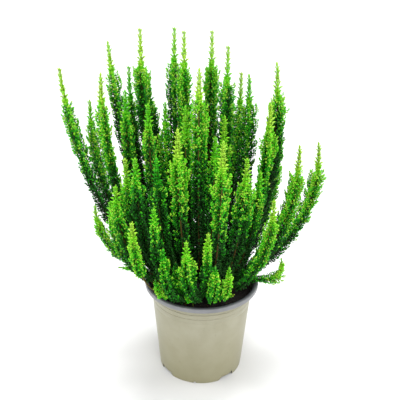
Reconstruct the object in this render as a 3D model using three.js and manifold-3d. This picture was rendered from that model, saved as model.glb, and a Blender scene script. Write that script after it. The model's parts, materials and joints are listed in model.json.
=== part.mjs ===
// A potted heather: a clump of upright leafy stems growing from peat in a tapered plastic pot.
// Lengths are millimetres and +Z is up. The origin is the middle of the pot's base, on the surface that it
// stands on, and the front of the plant faces -Y.

import * as THREE from "three";
import { mergeVertices } from "three/addons/utils/BufferGeometryUtils.js";
import Module from "manifold-3d";

const wasm = await Module();
wasm.setup();

// The pot.
const RIM_RADIUS = 60;
const RIM_INNER_RADIUS = 55.6;
const POT_HEIGHT = 101.5;
const LIP_DEPTH = 3.7;
const LIP_ROUND = 1;
const BASE_RADIUS = 45;
const TOP_RADIUS = 53.9;
const WALL = 1.0;
const SHOULDER_HEIGHT = 90;
const SHOULDER_STEP = 0.8;
const POT_SIDES = 36;

// The base stands on a flat disc and on the foot of the wall, with a raised ring channel between them.
const DISC_RADIUS = 33;
const CHANNEL_HEIGHT = 4.4;
const FLOOR = 1.1;
const ARCHES = 4;
const ARCH_WIDTH = 20;
const ARCH_SLOPE = 4;
const ARCH_HEIGHT = 3.6;
const ARCH_TURN_DEG = 38;
const SLOT_WIDTH = 2.6;
const SLOT_HEIGHT = 1.4;
const ARCH_SLOT_HEIGHT = 4.8;
const ARCH_SLOT_TURN_DEG = 35;
const DRAIN_HOLES = 8;
const DRAIN_RADIUS = 3;
const DRAIN_SIDES = 6;

// The peat and the room that every touching piece keeps.
const GAP = 0.3;
const SOIL_HEIGHT = 92;
const SOIL_DOME = 2.5;
const SOIL_LUMP = 0.7;
const SOIL_SIDES = 20;
const SOIL_RINGS = 4;
const HOLE_SIDES = 5;
const ROOT_DEPTH = 18;

// The leafy stems.
const STEM_RADIUS = 1.3;
const STEM_SIDES = 6;
const BARE_STEM = 7;
const BASE_SPREAD = 0.3;
const LOW_SHOOT_HEIGHT = 140;
const LOW_BASE_SPREAD = 0.62;
const BASE_REACH = 41;
const BEND_REACH = 0.62;
const BEND_HEIGHT = 0.12;
const UPRIGHT_REACH = 1.04;
const UPRIGHT_HEIGHT = 0.55;
const CURVE_POINTS = 14;
const FIRST_RING = 5.5;
const RING_GROWTH = 1.055;
const RING_TWIST_DEG = 11;
const SHOOT_RISE = 0.72;
const CORE_SHARE = 0.48;

// The foliage along a stem: a slim tip, a shoulder below it where the side shoots lengthen, and a column that
// thins towards the bare foot. Shares are of the stem's length.
const TIP_RADIUS = 1;
const SLIM_RADIUS = 2.5;
const SLIM_LENGTH = 4;
const SLIM_SHARE = 0.08;
const SHOULDER_SHARE = 0.18;
const LONGEST_SHOULDER = 24;
const THINNING = 0.15;
const SHOOT_RAGGEDNESS = 0.04;

// How the stems are kept apart: the room that each asks for round itself, how much of a missing distance is
// pushed in a round, how far a push spreads along its stem, and how much of it is kept.
const SPREAD_ROUNDS = 80;
const STEM_ROOM = 4.6;
const BASE_ROOM = 3.6;
const TIP_ROOM = 2.3;
const PUSH_SHARE = 0.3;
const PUSH_SPREAD = 0.4;
const PUSH_KEPT = 0.98;
const OVER_LIP = 5;
const CLEARANCE = 0.5;

// Every stem, from left to right in each group: the place of its tip (right, back, up) and the widest radius
// of its foliage. Stems that bend in their own way also have how far they reach out below the tip, as a share
// of the way from base to tip, and some have how high they lie at the bend and below the tip, as shares of
// their rise.
const TALL_STEMS = [
  [-136, 10, 319, 7, 1.03, 0.1, 0.85],
  [-113, 25, 286, 6.5],
  [-95, -5, 317, 7, 1.08],
  [-95, 40, 340, 7.5, 0.97, 0.1, 0.85],
  [-75, 5, 300, 7],
  [-76, 45, 316, 8],
  [-61, 20, 355, 10],
  [-56, 38, 311, 8, 0.95],
  [-54, 70, 277, 8],
  [-38, 12, 288, 7],
  [-30, 38, 354, 8, 1.2],
  [-20, 15, 353, 8],
  [-17, -25, 293, 7],
  [-5, -38, 328, 9.5],
  [6, 40, 352, 9],
  [21, 18, 340, 8],
  [30, 80, 273, 8],
  [36, 45, 312, 7.5],
  [42, 25, 313, 8.5, 1.3],
  [66, 10, 327, 11, 1.3],
  [60, -12, 293, 9, 1.1],
  [91, -5, 252, 9.5, 1.1],
  [114, 20, 248, 9, 1.16],
];
const FRONT_STEMS = [
  [19, -5, 280, 7.5],
  [10, -35, 268, 7.5],
  [16, -75, 276, 9.5],
  [-22, -65, 283, 9.5],
  [38, -50, 253, 9],
  [53, -25, 232, 9],
  [65, -45, 212, 8.5],
  [-51, -22, 294, 8],
  [-40, -65, 257, 8.5],
  [-59, -60, 255, 8],
  [-71, -38, 248, 8],
  [-78, -55, 227, 8],
  [-87, -35, 204, 7.5],
  [-110, 5, 183, 6.5],
  [-61, -80, 203, 6.5],
  [-42, -80, 217, 8],
  [-34, -82, 180, 6.5],
  [-14, -85, 188, 8],
  [-24, -70, 159, 6],
  [5, -78, 193, 8],
  [12, -80, 162, 6],
  [25, -72, 157, 6.5],
];
const LOW_SHOOTS = [
  [81, -10, 133, 6.5, 1.2, 0.1, 0.1],
  [-87, -10, 118, 6.5, 0.9, 0.8, 1.1],
  [-44, -60, 136, 5.5],
  [-15, -55, 118, 5.5],
  [33, -41, 107, 5],
];
const BACK_STEMS = [
  [82, 68, 235, 8.5],
  [74, 38, 270, 8.5],
  [55, 95, 188, 7.5],
  [25, 108, 250, 8.5],
  [-5, 85, 285, 9],
  [-30, 108, 255, 8.5],
  [-62, 90, 248, 8.5],
  [-92, 60, 192, 7.5],
];

const POT_COLOUR = 0xbab79f;
const SOIL_COLOUR = 0x241a14;
const LEAF_COLOUR = 0x4f9a24;

const Z_AXIS = new THREE.Vector3(0, 0, 1);
const radians = THREE.MathUtils.degToRad;
const smooth = (x, from, to) => THREE.MathUtils.smoothstep(x, from, to);

// A seeded draw of numbers from -1 to 1, the same on every run.
function seededDraw(seed) {
  let state = seed;
  return () => {
    state = (state * 1664525 + 1013904223) % 4294967296;
    return (state / 4294967296) * 2 - 1;
  };
}

// Geometry to a closed solid, and back.
function solidFrom(geometry) {
  const bare = geometry.clone();
  bare.deleteAttribute("normal");
  bare.deleteAttribute("uv");
  const merged = mergeVertices(bare, 1e-4);
  const vertProperties = new Float32Array(merged.getAttribute("position").array);
  const triVerts = new Uint32Array(merged.index.array);
  return new wasm.Manifold(new wasm.Mesh({ numProp: 3, vertProperties, triVerts }));
}

function geometryFrom(solid) {
  const mesh = solid.getMesh();
  const geometry = new THREE.BufferGeometry();
  geometry.setAttribute("position", new THREE.BufferAttribute(mesh.vertProperties, 3));
  geometry.setIndex(new THREE.BufferAttribute(mesh.triVerts, 1));
  return geometry;
}

function namedMesh(name, geometry, material) {
  geometry.computeVertexNormals();
  const mesh = new THREE.Mesh(geometry, material);
  mesh.name = name;
  return mesh;
}

// A profile of [radius, height] points turned about the Z axis.
function turned(profile, sides) {
  const points = profile.map(([radius, height]) => new THREE.Vector2(radius, height));
  return new THREE.LatheGeometry(points, sides).rotateX(Math.PI / 2);
}

const wallRadius = (height) => THREE.MathUtils.mapLinear(height, 0, POT_HEIGHT, BASE_RADIUS, TOP_RADIUS);

// The pot is one moulding: foot, tapered wall, stacking shoulder and a lip that turns outwards.
function makePot() {
  const lipUnderside = POT_HEIGHT - LIP_DEPTH;
  const shoulder = wallRadius(SHOULDER_HEIGHT);
  const profile = [
    [0, 0],
    [DISC_RADIUS, 0],
    [DISC_RADIUS + 1, CHANNEL_HEIGHT],
    [BASE_RADIUS - WALL, CHANNEL_HEIGHT],
    [BASE_RADIUS - WALL, 0],
    [BASE_RADIUS, 0],
    [shoulder, SHOULDER_HEIGHT],
    [shoulder + SHOULDER_STEP, SHOULDER_HEIGHT + SHOULDER_STEP],
    [wallRadius(lipUnderside) + SHOULDER_STEP, lipUnderside],
    [RIM_RADIUS - LIP_ROUND, lipUnderside],
    [RIM_RADIUS, lipUnderside + LIP_ROUND],
    [RIM_RADIUS, POT_HEIGHT - LIP_ROUND],
    [RIM_RADIUS - LIP_ROUND, POT_HEIGHT],
    [RIM_INNER_RADIUS, POT_HEIGHT],
    [wallRadius(lipUnderside) + SHOULDER_STEP - WALL, lipUnderside - LIP_ROUND],
    [shoulder - WALL, SHOULDER_HEIGHT],
    [wallRadius(CHANNEL_HEIGHT) - WALL, CHANNEL_HEIGHT + FLOOR],
    [DISC_RADIUS, CHANNEL_HEIGHT + FLOOR],
    [DISC_RADIUS - 1, FLOOR],
    [0, FLOOR],
  ];
  let pot = solidFrom(turned(profile, POT_SIDES));
  for (const cutter of [...archCutters(), ...slotCutters(), ...drainCutters()]) {
    pot = pot.subtract(cutter);
  }
  return geometryFrom(pot);
}

// Arches through the foot of the wall let water out of the ring channel.
function archCutters() {
  return Array.from({ length: ARCHES }, (_, i) => {
    const arch = new THREE.Shape();
    arch.moveTo(-ARCH_WIDTH / 2, -1);
    arch.lineTo(ARCH_WIDTH / 2, -1);
    arch.lineTo(ARCH_WIDTH / 2 - ARCH_SLOPE, ARCH_HEIGHT);
    arch.lineTo(ARCH_SLOPE - ARCH_WIDTH / 2, ARCH_HEIGHT);
    const cutter = new THREE.ExtrudeGeometry(arch, { depth: BASE_RADIUS - DISC_RADIUS, bevelEnabled: false });
    cutter.rotateX(Math.PI / 2).translate(0, -(DISC_RADIUS + 3 * WALL), 0);
    cutter.rotateZ(radians(ARCH_TURN_DEG + (i * 360) / ARCHES));
    return solidFrom(cutter);
  });
}

// Narrow slots: one in the middle of each lobe of the foot, and one at each arch's end beside a side lobe.
function slotCutters() {
  const lobe = ARCH_TURN_DEG - 180 / ARCHES;
  const places = Array.from({ length: ARCHES }, (_, i) => [lobe + (i * 360) / ARCHES, SLOT_HEIGHT]);
  for (const side of [lobe + 90, lobe - 90]) {
    places.push([side - ARCH_SLOT_TURN_DEG, ARCH_SLOT_HEIGHT]);
    places.push([side + ARCH_SLOT_TURN_DEG, ARCH_SLOT_HEIGHT]);
  }
  return places.map(([turn, height]) => {
    const cutter = new THREE.BoxGeometry(SLOT_WIDTH, 4 * WALL, 2 * height);
    return solidFrom(cutter.translate(0, -BASE_RADIUS, 0).rotateZ(radians(turn)));
  });
}

// Round drain holes through the raised ring.
function drainCutters() {
  const ring = (DISC_RADIUS + BASE_RADIUS) / 2;
  return Array.from({ length: DRAIN_HOLES }, (_, i) => {
    const angle = ((i + 0.5) * 2 * Math.PI) / DRAIN_HOLES;
    const cutter = new THREE.CylinderGeometry(DRAIN_RADIUS, DRAIN_RADIUS, 6 * FLOOR, DRAIN_SIDES);
    cutter.rotateX(Math.PI / 2).translate(ring * Math.cos(angle), ring * Math.sin(angle), CHANNEL_HEIGHT);
    return solidFrom(cutter);
  });
}

const soilTop = (radius) => SOIL_HEIGHT + SOIL_DOME * (1 - (radius / TOP_RADIUS) ** 2);

// The peat fills the pot to just under the rim. Its top is domed and lumpy, with a plain hole for each stem.
function makeSoil(stems) {
  const edge = wallRadius(SOIL_HEIGHT) - WALL - GAP;
  const profile = [
    [0, FLOOR + GAP],
    [DISC_RADIUS - 1.5, FLOOR + GAP],
    [DISC_RADIUS - 0.5, CHANNEL_HEIGHT + FLOOR + GAP],
    [wallRadius(CHANNEL_HEIGHT) - WALL - 1.5 * GAP, CHANNEL_HEIGHT + FLOOR + GAP],
    [edge - GAP, soilTop(edge)],
  ];
  for (let ring = SOIL_RINGS - 1; ring > 0; ring--) {
    const radius = (edge * ring) / SOIL_RINGS;
    profile.push([radius, soilTop(radius)]);
  }
  profile.push([0, soilTop(0)]);
  const geometry = turned(profile, SOIL_SIDES);
  const place = geometry.getAttribute("position");
  for (let i = 0; i < place.count; i++) {
    const x = place.getX(i);
    const y = place.getY(i);
    const radius = Math.hypot(x, y);
    if (place.getZ(i) < SOIL_HEIGHT - 1 || radius > edge - 2) continue;
    place.setZ(i, place.getZ(i) + SOIL_LUMP * Math.sin(0.31 * x + 1) * Math.cos(0.27 * y));
  }
  let soil = solidFrom(geometry);
  for (const stem of stems) {
    const radius = (STEM_RADIUS + GAP) / Math.cos(Math.PI / HOLE_SIDES);
    const hole = new THREE.CylinderGeometry(radius, radius, 2 * (ROOT_DEPTH + GAP), HOLE_SIDES);
    const { x, y, z } = stem.points[0];
    soil = soil.subtract(solidFrom(hole.rotateX(Math.PI / 2).translate(x, y, z)));
  }
  return geometryFrom(soil);
}

// A stem rises from the peat near the middle, leans out towards its tip and ends upright.
function makeStem([x, y, z, leafRadius, ...ownBend]) {
  const [bow = UPRIGHT_REACH, bendHeight = BEND_HEIGHT, uprightHeight = UPRIGHT_HEIGHT] = ownBend;
  const tip = new THREE.Vector3(x, y, z);
  const reach = Math.hypot(x, y);
  const share = Math.min(z < LOW_SHOOT_HEIGHT ? LOW_BASE_SPREAD : BASE_SPREAD, BASE_REACH / reach);
  const base = new THREE.Vector3(x * share, y * share, soilTop(reach * share) + SOIL_LUMP);
  const rise = z - base.z;
  const lean = new THREE.Vector3().lerpVectors(base, tip, BEND_REACH).setZ(base.z + rise * bendHeight);
  const upright = new THREE.Vector3().lerpVectors(base, tip, bow).setZ(base.z + rise * uprightHeight);
  const curve = new THREE.CubicBezierCurve3(base, lean, upright, tip);
  return { leafRadius, points: curve.getPoints(CURVE_POINTS), home: curve.getPoints(CURVE_POINTS) };
}

// Room that a stem asks for at one of its points: little at the base and the tip, more between them.
function roomAt(index) {
  const share = index / CURVE_POINTS;
  const low = THREE.MathUtils.lerp(BASE_ROOM, STEM_ROOM, smooth(share, 0, 0.3));
  return THREE.MathUtils.lerp(low, TIP_ROOM, smooth(share, 0.75, 1));
}

// Pushes crossing stems apart, a little each round, with each tip held at its place.
function spreadApart(stems) {
  const onSegment = new THREE.Vector3();
  const push = new THREE.Vector3();
  const segment = new THREE.Line3();
  for (let round = 0; round < SPREAD_ROUNDS; round++) {
    for (const one of stems) {
      for (const other of stems) {
        if (one === other) continue;
        for (let i = 0; i < CURVE_POINTS; i++) {
          for (let j = 0; j < CURVE_POINTS; j++) {
            segment.set(other.points[j], other.points[j + 1]);
            segment.closestPointToPoint(one.points[i], true, onSegment);
            push.subVectors(one.points[i], onSegment);
            const wanted = roomAt(i) + roomAt(j + 0.5);
            const found = push.length();
            if (found >= wanted) continue;
            push.setZ(0).setLength(PUSH_SHARE * (wanted - found));
            one.points[i].add(push);
            other.points[j].sub(push);
            if (j + 1 < CURVE_POINTS) other.points[j + 1].sub(push);
          }
        }
      }
    }
    stems.forEach(settle);
  }
}

// Spreads each push along its stem and lets go of a little, then keeps the stem in the pot and over its lip.
function settle({ points, home }) {
  const pushes = points.map((point, i) => new THREE.Vector3().subVectors(point, home[i]));
  for (let i = 1; i < CURVE_POINTS; i++) {
    const around = new THREE.Vector3().addVectors(pushes[i - 1], pushes[i + 1]).multiplyScalar(0.5);
    points[i].copy(home[i]).addScaledVector(pushes[i].clone().lerp(around, PUSH_SPREAD), PUSH_KEPT);
    const radius = Math.hypot(points[i].x, points[i].y);
    const overLip = POT_HEIGHT + OVER_LIP * smooth(radius, BASE_REACH, RIM_INNER_RADIUS);
    const nearLip = radius > BASE_REACH && radius < RIM_RADIUS + 2 * OVER_LIP;
    if (nearLip) points[i].z = Math.max(points[i].z, overLip);
  }
  const base = points[0];
  const radius = Math.hypot(base.x, base.y);
  if (radius > BASE_REACH) base.multiplyScalar(BASE_REACH / radius);
  base.z = soilTop(Math.min(radius, BASE_REACH)) + SOIL_LUMP;
}

// How far the foliage stands out, from the distance along the stem to its tip and to its base.
function foliageRadius(toTip, toBase, length, widest) {
  const slimTip = SLIM_LENGTH + SLIM_SHARE * length;
  const shoulder = slimTip + Math.min(LONGEST_SHOULDER, SHOULDER_SHARE * length);
  const tip = THREE.MathUtils.lerp(TIP_RADIUS, SLIM_RADIUS, smooth(toTip, 0, slimTip));
  const column = THREE.MathUtils.lerp(tip, widest, smooth(toTip, 0.9 * slimTip, shoulder));
  const thinned = column * (1 - THINNING * smooth(toTip, shoulder, length));
  return THREE.MathUtils.lerp(STEM_RADIUS, thinned, smooth(toBase, BARE_STEM, 3 * BARE_STEM));
}

// Room that is free round a point: half the way to the nearest other stem, and clear of the lip and the peat.
function freeRadius(point, stem, stems) {
  const onSegment = new THREE.Vector3();
  const segment = new THREE.Line3();
  let nearest = Infinity;
  for (const other of stems) {
    if (other === stem) continue;
    for (let j = 0; j < CURVE_POINTS; j++) {
      segment.set(other.points[j], other.points[j + 1]);
      segment.closestPointToPoint(point, true, onSegment);
      nearest = Math.min(nearest, onSegment.distanceTo(point));
    }
  }
  const radius = Math.hypot(point.x, point.y);
  const lipRadius = (RIM_RADIUS + RIM_INNER_RADIUS) / 2;
  const toLipMiddle = Math.hypot(radius - lipRadius, point.z - POT_HEIGHT + LIP_DEPTH / 2);
  const toLip = toLipMiddle - Math.hypot(RIM_RADIUS - lipRadius, LIP_DEPTH / 2);
  const toSoil = radius < RIM_RADIUS ? point.z - soilTop(radius) - SOIL_LUMP : Infinity;
  return Math.min(nearest / 2, toLip, toSoil) - CLEARANCE;
}

// One leafy stem is a slim core whose surface is raised into pointed side shoots. On every ring, shoot tips
// and hollows take turns, each ring turned by half a step from the one below, and the tips lean up the stem.
function makeLeafyStem(stem, stems, draw) {
  const curve = new THREE.CatmullRomCurve3(stem.points, false, "centripetal");
  const length = curve.getLength();
  const places = [];
  for (let down = FIRST_RING * 0.6, step = FIRST_RING; down < length - BARE_STEM; down += step) {
    places.unshift(length - down);
    step *= RING_GROWTH;
  }
  places.unshift(0, BARE_STEM * 0.6);

  const tip = stem.points[CURVE_POINTS];
  const base = stem.points[0];
  const outward = new THREE.Vector3(tip.x - base.x, tip.y - base.y, 0).normalize();
  const across = new THREE.Vector3(-outward.y, outward.x, 0);
  const positions = [];
  const addRing = (centre, tangent, row, radiusAndLift) => {
    const side = across.clone().addScaledVector(tangent, -across.dot(tangent)).normalize();
    const front = new THREE.Vector3().crossVectors(tangent, side);
    for (let column = 0; column < STEM_SIDES; column++) {
      const angle = (column * 2 * Math.PI) / STEM_SIDES + row * radians(RING_TWIST_DEG);
      const [radius, lift] = radiusAndLift(column);
      const point = centre.clone().addScaledVector(tangent, lift);
      point.addScaledVector(side, radius * Math.cos(angle)).addScaledVector(front, radius * Math.sin(angle));
      positions.push(point.x, point.y, point.z);
    }
  };
  addRing(base.clone().setZ(base.z - ROOT_DEPTH), Z_AXIS, 0, () => [STEM_RADIUS, 0]);
  places.forEach((along, row) => {
    const centre = curve.getPointAt(along / length);
    if (row < 2) {
      addRing(centre, row === 0 ? Z_AXIS : curve.getTangentAt(along / length), 0, () => [STEM_RADIUS, 0]);
      return;
    }
    const tangent = curve.getTangentAt(along / length);
    const step = row + 1 < places.length ? places[row + 1] - along : length - along;
    const shootEnd = centre.clone().addScaledVector(tangent, step * SHOOT_RISE);
    const free = Math.min(freeRadius(centre, stem, stems), freeRadius(shootEnd, stem, stems));
    const wanted = foliageRadius(length - along, along, length, stem.leafRadius);
    const outer = Math.max(Math.min(wanted, free), STEM_RADIUS);
    const core = Math.min(outer, Math.max(TIP_RADIUS, outer * CORE_SHARE));
    const rise = step * SHOOT_RISE * smooth(outer, STEM_RADIUS, SLIM_RADIUS);
    addRing(centre, tangent, row, (column) => {
      const isShoot = (row + column) % 2 === 0;
      return isShoot ? [outer * (1 - SHOOT_RAGGEDNESS * (1 - draw())), rise] : [core, 0];
    });
  });

  const rows = places.length + 1;
  const bottom = positions.length / 3;
  positions.push(base.x, base.y, base.z - ROOT_DEPTH, tip.x, tip.y, tip.z);
  const at = (row, column) => row * STEM_SIDES + (column % STEM_SIDES);
  const faces = [];
  for (let column = 0; column < STEM_SIDES; column++) {
    faces.push(bottom, at(0, column + 1), at(0, column));
    faces.push(bottom + 1, at(rows - 1, column), at(rows - 1, column + 1));
    for (let row = 0; row + 1 < rows; row++) {
      const [a, b] = [at(row, column), at(row, column + 1)];
      const [c, d] = [at(row + 1, column + 1), at(row + 1, column)];
      if ((row + column) % 2 === 0) faces.push(a, b, c, a, c, d);
      else faces.push(a, b, d, b, c, d);
    }
  }
  const geometry = new THREE.BufferGeometry();
  geometry.setAttribute("position", new THREE.Float32BufferAttribute(positions, 3));
  geometry.setIndex(faces);
  return geometry;
}

const plasticFinish = new THREE.MeshStandardMaterial({ color: POT_COLOUR, roughness: 0.45, metalness: 0 });
const peatFinish = new THREE.MeshStandardMaterial({ color: SOIL_COLOUR, roughness: 0.95, metalness: 0 });
const leafFinish = new THREE.MeshStandardMaterial({ color: LEAF_COLOUR, roughness: 0.6, metalness: 0 });

const stems = [...TALL_STEMS, ...FRONT_STEMS, ...LOW_SHOOTS, ...BACK_STEMS].map(makeStem);
spreadApart(stems);

const plant = new THREE.Group();
plant.add(namedMesh("pot", makePot(), plasticFinish));
plant.add(namedMesh("soil", makeSoil(stems), peatFinish));
stems.forEach((stem, i) => {
  const name = "leafy_stem_" + String(i + 1).padStart(2, "0");
  plant.add(namedMesh(name, makeLeafyStem(stem, stems, seededDraw(i + 1)), leafFinish));
});

export default plant;
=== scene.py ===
# %% [markdown]
# # A potted heather
# The real thing is a clump of upright heather stems in a thin plastic nursery pot filled with peat. Each
# stem is a woody cane with hundreds of short side shoots, and each side shoot is packed with leaves two or
# three millimetres long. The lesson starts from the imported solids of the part, keeps their sizes and
# places, and gives the pot, the peat and every leafy stem its fine shape and its finish.

# %% The frame that everything is fitted to
import json
import math

import bpy
import numpy as np
from mathutils import Matrix, Vector, noise

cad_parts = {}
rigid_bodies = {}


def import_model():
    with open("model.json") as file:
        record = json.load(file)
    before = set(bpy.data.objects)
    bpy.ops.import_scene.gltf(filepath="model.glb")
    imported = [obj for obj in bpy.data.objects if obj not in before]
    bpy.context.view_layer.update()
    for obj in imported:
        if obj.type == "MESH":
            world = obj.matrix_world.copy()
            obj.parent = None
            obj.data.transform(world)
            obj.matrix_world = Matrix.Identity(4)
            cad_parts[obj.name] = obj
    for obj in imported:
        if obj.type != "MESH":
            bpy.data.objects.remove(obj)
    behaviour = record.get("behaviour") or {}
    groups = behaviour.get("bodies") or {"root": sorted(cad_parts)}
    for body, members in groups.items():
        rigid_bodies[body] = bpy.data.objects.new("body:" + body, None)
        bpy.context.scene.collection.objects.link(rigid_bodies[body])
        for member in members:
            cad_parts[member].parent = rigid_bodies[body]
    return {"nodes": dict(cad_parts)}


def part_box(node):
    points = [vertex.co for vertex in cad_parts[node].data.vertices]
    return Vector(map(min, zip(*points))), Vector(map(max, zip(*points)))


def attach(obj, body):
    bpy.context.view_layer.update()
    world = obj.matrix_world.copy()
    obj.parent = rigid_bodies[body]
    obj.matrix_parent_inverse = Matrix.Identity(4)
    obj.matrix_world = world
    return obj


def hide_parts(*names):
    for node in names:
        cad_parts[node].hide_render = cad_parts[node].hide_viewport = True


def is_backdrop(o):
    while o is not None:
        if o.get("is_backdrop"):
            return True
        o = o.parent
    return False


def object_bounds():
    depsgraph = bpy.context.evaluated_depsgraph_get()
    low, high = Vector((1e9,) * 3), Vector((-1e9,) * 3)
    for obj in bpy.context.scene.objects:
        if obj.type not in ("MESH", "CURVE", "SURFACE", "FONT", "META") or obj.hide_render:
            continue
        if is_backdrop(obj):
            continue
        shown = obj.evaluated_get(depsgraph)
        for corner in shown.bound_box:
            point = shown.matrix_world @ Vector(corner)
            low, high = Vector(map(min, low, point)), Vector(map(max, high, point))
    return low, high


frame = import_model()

MM = 0.001
cad_low, cad_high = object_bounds()
pot_low, pot_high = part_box("pot")
rim_radius = (pot_high[0] - pot_low[0]) / 2
pot_height = pot_high[2]
print("the plant is", round(cad_high[2] / MM), "mm high, in a pot", round(2 * rim_radius / MM), "mm across")

# %% [markdown]
# ## The camera
# It stands where the photographer stood: about half a metre from the pot and well above its rim, so that
# the soil line and the near lip are seen from above. The place and the three angles were worked out from
# the oval of the rim and the edge of the foot. They are set as turns, one after another, as a tripod head
# is set.

# %% Camera
CAMERA_PLACE = Vector((0, -0.506, 0.400))
CAMERA_PAN = math.radians(-0.35)
CAMERA_TILT = math.radians(22.42)
CAMERA_ROLL = math.radians(0.86)
CAMERA_LENS = 49.158

bpy.ops.object.select_all(action="DESELECT")
bpy.ops.object.camera_add(location=CAMERA_PLACE)
camera = bpy.context.object
camera.name = "camera"
camera.data.lens = CAMERA_LENS
camera.data.clip_end = 100
camera_turn = (
    Matrix.Rotation(-CAMERA_PAN, 3, "Z")
    @ Matrix.Rotation(math.pi / 2 - CAMERA_TILT, 3, "X")
    @ Matrix.Rotation(CAMERA_ROLL, 3, "Z")
)
camera.rotation_euler = camera_turn.to_euler()
bpy.context.scene.camera = camera
print("camera", [round(x, 3) for x in CAMERA_PLACE], "tilted down", round(math.degrees(CAMERA_TILT), 1))

# %% [markdown]
# ## Helpers for finishes
# Colours are read off as the hex values that a paint program shows, which are sRGB. Shaders want linear
# light, so one function turns them. Another adds a node with its settings and links, because every finish
# here is a small chain of such nodes.

# %% Colour and node helpers
def linear(hex_colour, alpha=1.0):
    """The linear colour of an sRGB hex value such as "#3FA11A"."""
    channels = [int(hex_colour[i : i + 2], 16) / 255 for i in (1, 3, 5)]
    return [c / 12.92 if c <= 0.04045 else ((c + 0.055) / 1.055) ** 2.4 for c in channels] + [alpha]


def add_node(material, kind, inputs=(), **settings):
    """Adds a node to the material. kind is Blender's name for it without the leading ShaderNode. inputs gives
    each socket a value, an output to link, or a node, of which the first output is linked."""
    made = material.node_tree.nodes.new("ShaderNode" + kind)
    for name, value in settings.items():
        setattr(made, name, value)
    for socket, value in dict(inputs).items():
        if isinstance(value, bpy.types.Node):
            value = value.outputs[0]
        if isinstance(value, bpy.types.NodeSocket):
            material.node_tree.links.new(value, made.inputs[socket])
        else:
            made.inputs[socket].default_value = value
    return made


def set_ramp(ramp, stops):
    """Gives a Color Ramp node its (place, hex colour) stops."""
    elements = ramp.color_ramp.elements
    while len(elements) < len(stops):
        elements.new(0.5)
    for element, (place, colour) in zip(elements, stops):
        element.position = place
        element.color = linear(colour)


def new_material(name):
    """A node material that holds only its output."""
    material = bpy.data.materials.new(name)
    material.use_nodes = True
    material.node_tree.nodes.clear()
    return material


def finished(material, inputs):
    """Gives the material its surface, with these inputs, and its output."""
    surface = add_node(material, "BsdfPrincipled", inputs)
    add_node(material, "OutputMaterial", {"Surface": surface})
    return material


# %% [markdown]
# ## Helpers for shapes
# Round things such as the pot and the peat are drawn as a lathe would cut them: a ring of edges is extruded
# from one point of the profile to the next and scaled to the new radius. The scaling is centred on the
# axis, so each ring stays round. Everything is deselected before a new primitive is added, because
# operators work on all that is selected.

# %% Shape helpers
def numbers(collection, name, width=1, kind=np.float32):
    """One property of all of a mesh's corners or faces, as an array."""
    values = np.empty(len(collection) * width, kind)
    collection.foreach_get(name, values)
    values = values.astype(np.float64) if kind is np.float32 else values
    return values.reshape(-1, width) if width > 1 else values


def deselect():
    """Leaves nothing selected."""
    bpy.ops.object.select_all(action="DESELECT")


def select_only(thing):
    """Selects this piece alone, for operators to work on."""
    deselect()
    bpy.context.view_layer.objects.active = thing
    thing.select_set(True)


def placed(name):
    """The primitive that was just added, named, with its place, turn and size moved into its mesh."""
    thing = bpy.context.object
    thing.name = name
    bpy.ops.object.transform_apply(location=True, rotation=True, scale=True)
    return thing


def join(first, others):
    """Makes the others part of the first piece."""
    select_only(first)
    for other in others:
        other.select_set(True)
    bpy.ops.object.join()


def select_by(thing, kind, test):
    """Selects the corners ("VERT") or faces ("FACE") whose places and normals pass the test, in edit mode."""
    select_only(thing)
    bpy.ops.object.mode_set(mode="EDIT")
    bpy.ops.mesh.select_mode(type=kind)
    bpy.ops.mesh.select_all(action="DESELECT")
    bpy.ops.object.mode_set(mode="OBJECT")
    parts = thing.data.vertices if kind == "VERT" else thing.data.polygons
    places = numbers(parts, "co" if kind == "VERT" else "center", 3)
    parts.foreach_set("select", test(places, numbers(parts, "normal", 3)))
    bpy.ops.object.mode_set(mode="EDIT")


def lathed(name, sides, profile):
    """A closed round body. Its profile is (radius, height) from the underside outwards, round to the top."""
    first_radius, first_height = profile[0]
    deselect()
    bpy.ops.mesh.primitive_circle_add(vertices=sides, radius=first_radius, location=(0, 0, first_height))
    body = placed(name)
    bpy.ops.object.mode_set(mode="EDIT")
    bpy.ops.mesh.select_mode(type="EDGE")
    bpy.ops.mesh.select_all(action="SELECT")
    for (radius, height), (next_radius, next_height) in zip(profile, profile[1:]):
        bpy.ops.mesh.extrude_region_move(TRANSFORM_OT_translate={"value": (0, 0, next_height - height)})
        ratio = next_radius / radius
        bpy.ops.transform.resize(value=(ratio, ratio, 1), center_override=(0, 0, 0))
    bpy.ops.mesh.edge_face_add()
    bpy.ops.object.mode_set(mode="OBJECT")
    close = 1e-6 + 1e-4 * first_radius

    def on_the_first_ring(at, facing):
        off = abs(np.hypot(at[:, 0], at[:, 1]) - first_radius)
        return (off < close) & (abs(at[:, 2] - first_height) < close)

    select_by(body, "VERT", on_the_first_ring)
    bpy.ops.mesh.edge_face_add()
    bpy.ops.mesh.select_all(action="SELECT")
    bpy.ops.mesh.normals_make_consistent(inside=False)
    bpy.ops.mesh.select_all(action="DESELECT")
    bpy.ops.object.mode_set(mode="OBJECT")
    return body


def wear(thing, *materials):
    """Gives the piece its material slots."""
    thing.data.materials.clear()
    for material in materials:
        thing.data.materials.append(material)


# %% [markdown]
# ## The pot
# A nursery pot is drawn from a thin sheet of polypropylene over a mould: a tapered wall one millimetre
# thick, a turned-out lip to lift it by, a step for stacking under the lip with three fine grooves below it,
# and a foot cut by four arches for the water. It could be a solid of revolution made with Spin. Extruding a
# ring along the profile was chosen, because the profile is then a plain list of radius and height, from the
# raised disc in the base out to the foot, up the wall, over the lip and down the inside.

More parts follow.
